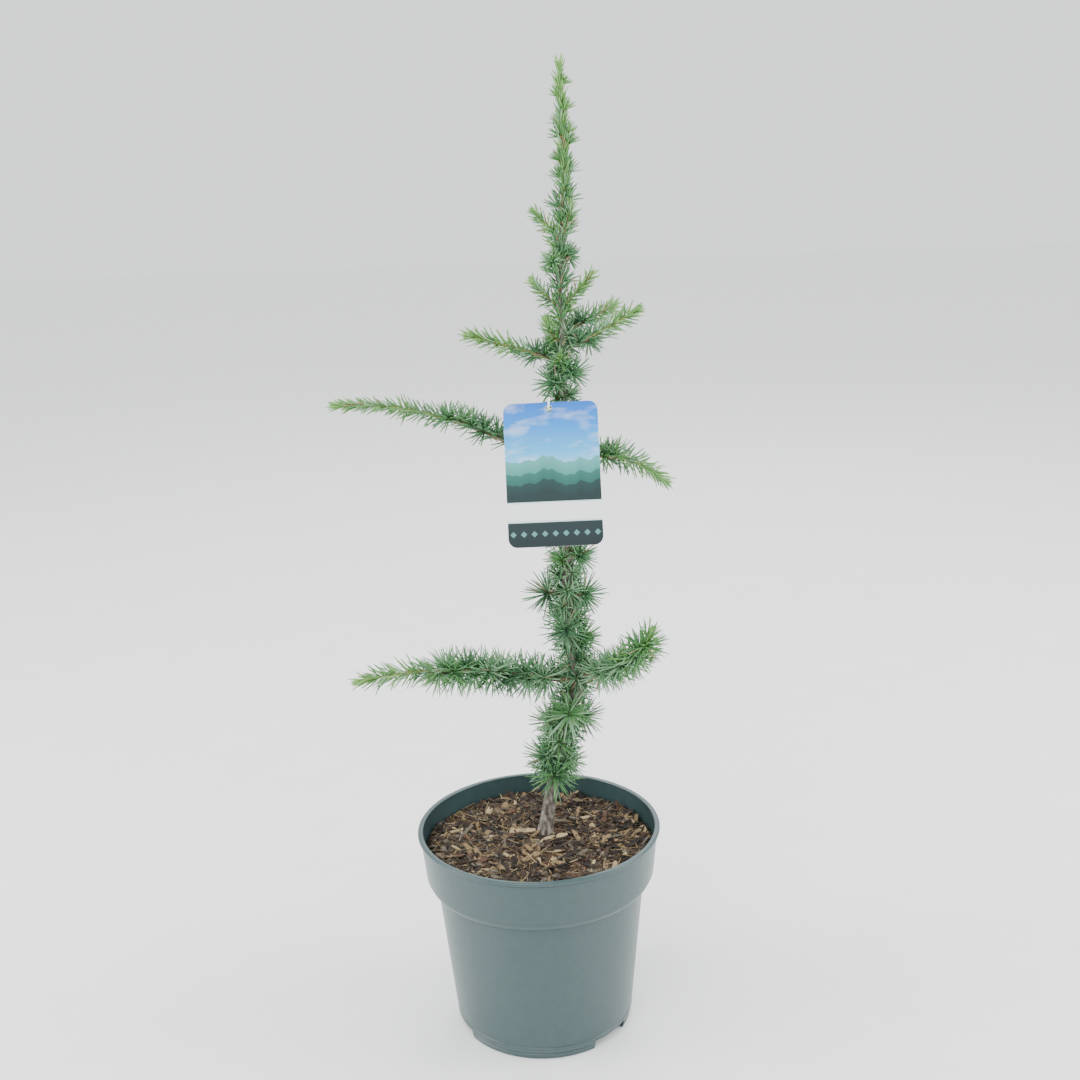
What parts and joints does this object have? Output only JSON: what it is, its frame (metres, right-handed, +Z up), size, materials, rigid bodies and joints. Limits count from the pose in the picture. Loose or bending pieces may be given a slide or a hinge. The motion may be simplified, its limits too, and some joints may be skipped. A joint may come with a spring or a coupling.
{
  "type": "potted cedar of lebanon",
  "caption": "Young conifer with an upright stem and a few level side branches, in a round tapered nursery pot with a hanging plant label.",
  "frame": {"origin": "centre of the pot's flat underside", "axes": "+Z up the pot's axis, +X to the right and -Y towards the viewer as the label faces"},
  "size_m": [0.2599, 0.2122, 0.7422],
  "materials": {
    "moulded_pot_plastic": "satin moulded polypropylene, grey-green",
    "bark_and_coir_mulch": "loose fibres and bark chips, dark brown",
    "young_cedar_bark": "rough grey-brown bark",
    "cedar_needles": "waxy blue-green needles, yellower when young",
    "printed_card": "printed plastic card, satin",
    "white_loop_plastic": "soft white plastic"
  },
  "bodies": {
    "root": {"pot": "moulded_pot_plastic", "bark_mulch": "bark_and_coir_mulch", "trunk": "young_cedar_bark", "bough_lower_left": "young_cedar_bark", "bough_lower_right": "young_cedar_bark", "bough_lower_back": "young_cedar_bark", "bough_middle_left": "young_cedar_bark", "bough_middle_right": "young_cedar_bark", "bough_middle_back": "young_cedar_bark", "bough_middle_rear": "young_cedar_bark", "bough_upper_left": "young_cedar_bark", "bough_upper_right": "young_cedar_bark", "bough_upper_rear": "young_cedar_bark", "bough_upper_back": "young_cedar_bark", "needles_lower_left": "cedar_needles", "needles_lower_right": "cedar_needles", "needles_lower_back": "cedar_needles", "needles_middle_left": "cedar_needles", "needles_middle_right": "cedar_needles", "needles_middle_back": "cedar_needles", "needles_middle_rear": "cedar_needles", "needles_upper_left": "cedar_needles", "needles_upper_right": "cedar_needles", "needles_upper_rear": "cedar_needles", "needles_upper_back": "cedar_needles", "needles_upper_front": "cedar_needles", "needles_upright_left": "cedar_needles", "needles_pair_left": "cedar_needles", "needles_pair_right": "cedar_needles", "needles_pair_back": "cedar_needles", "needles_top_left": "cedar_needles", "needles_top_right": "cedar_needles", "needles_foot_front": "cedar_needles", "needles_foot_left": "cedar_needles", "needles_foot_right": "cedar_needles", "needles_foot_back": "cedar_needles", "needles_low_front": "cedar_needles", "needles_low_right": "cedar_needles", "needles_low_left": "cedar_needles", "needles_low_back": "cedar_needles", "needles_stem_right": "cedar_needles", "needles_stem_front": "cedar_needles", "needles_stem_back": "cedar_needles", "needles_stem_left": "cedar_needles", "needles_high_right": "cedar_needles", "needles_high_back": "cedar_needles", "needles_neck_right": "cedar_needles", "needles_neck_left": "cedar_needles", "needles_neck_front": "cedar_needles", "needles_card_front": "cedar_needles", "needles_fan_left": "cedar_needles", "needles_fan_right": "cedar_needles", "needles_crown_left": "cedar_needles", "needles_crown_right": "cedar_needles", "needles_leader": "cedar_needles", "label_card": "printed_card", "label_strap": "white_loop_plastic"}
  },
  "joints": []
}
